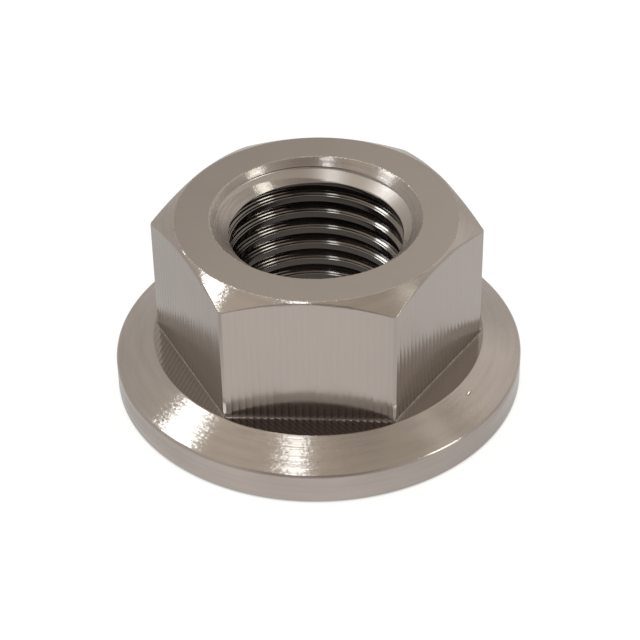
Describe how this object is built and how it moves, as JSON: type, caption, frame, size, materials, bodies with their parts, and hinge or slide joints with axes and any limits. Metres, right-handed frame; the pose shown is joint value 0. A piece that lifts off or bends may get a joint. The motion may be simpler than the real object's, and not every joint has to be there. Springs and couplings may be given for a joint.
{
  "type": "hex flange nut",
  "caption": "Machined hex nut with a conical flange and a fine-pitch threaded bore, which clamps a part against its own built-in washer face.",
  "frame": {"origin": "centre of the bearing face, on the thread's axis", "axes": "+Z along the thread's axis from the bearing face to the top face; two opposite flats of the hexagon face +Y and -Y, and two opposite corners point along +X and -X"},
  "size_m": [0.026, 0.026, 0.012],
  "materials": {
    "bare_metal": "bare machined metal of a warm grey, bright turned cone and chamfers, milled flats, satin top face"
  },
  "bodies": {
    "root": {"hex_flange_nut": "bare_metal"}
  },
  "joints": []
}
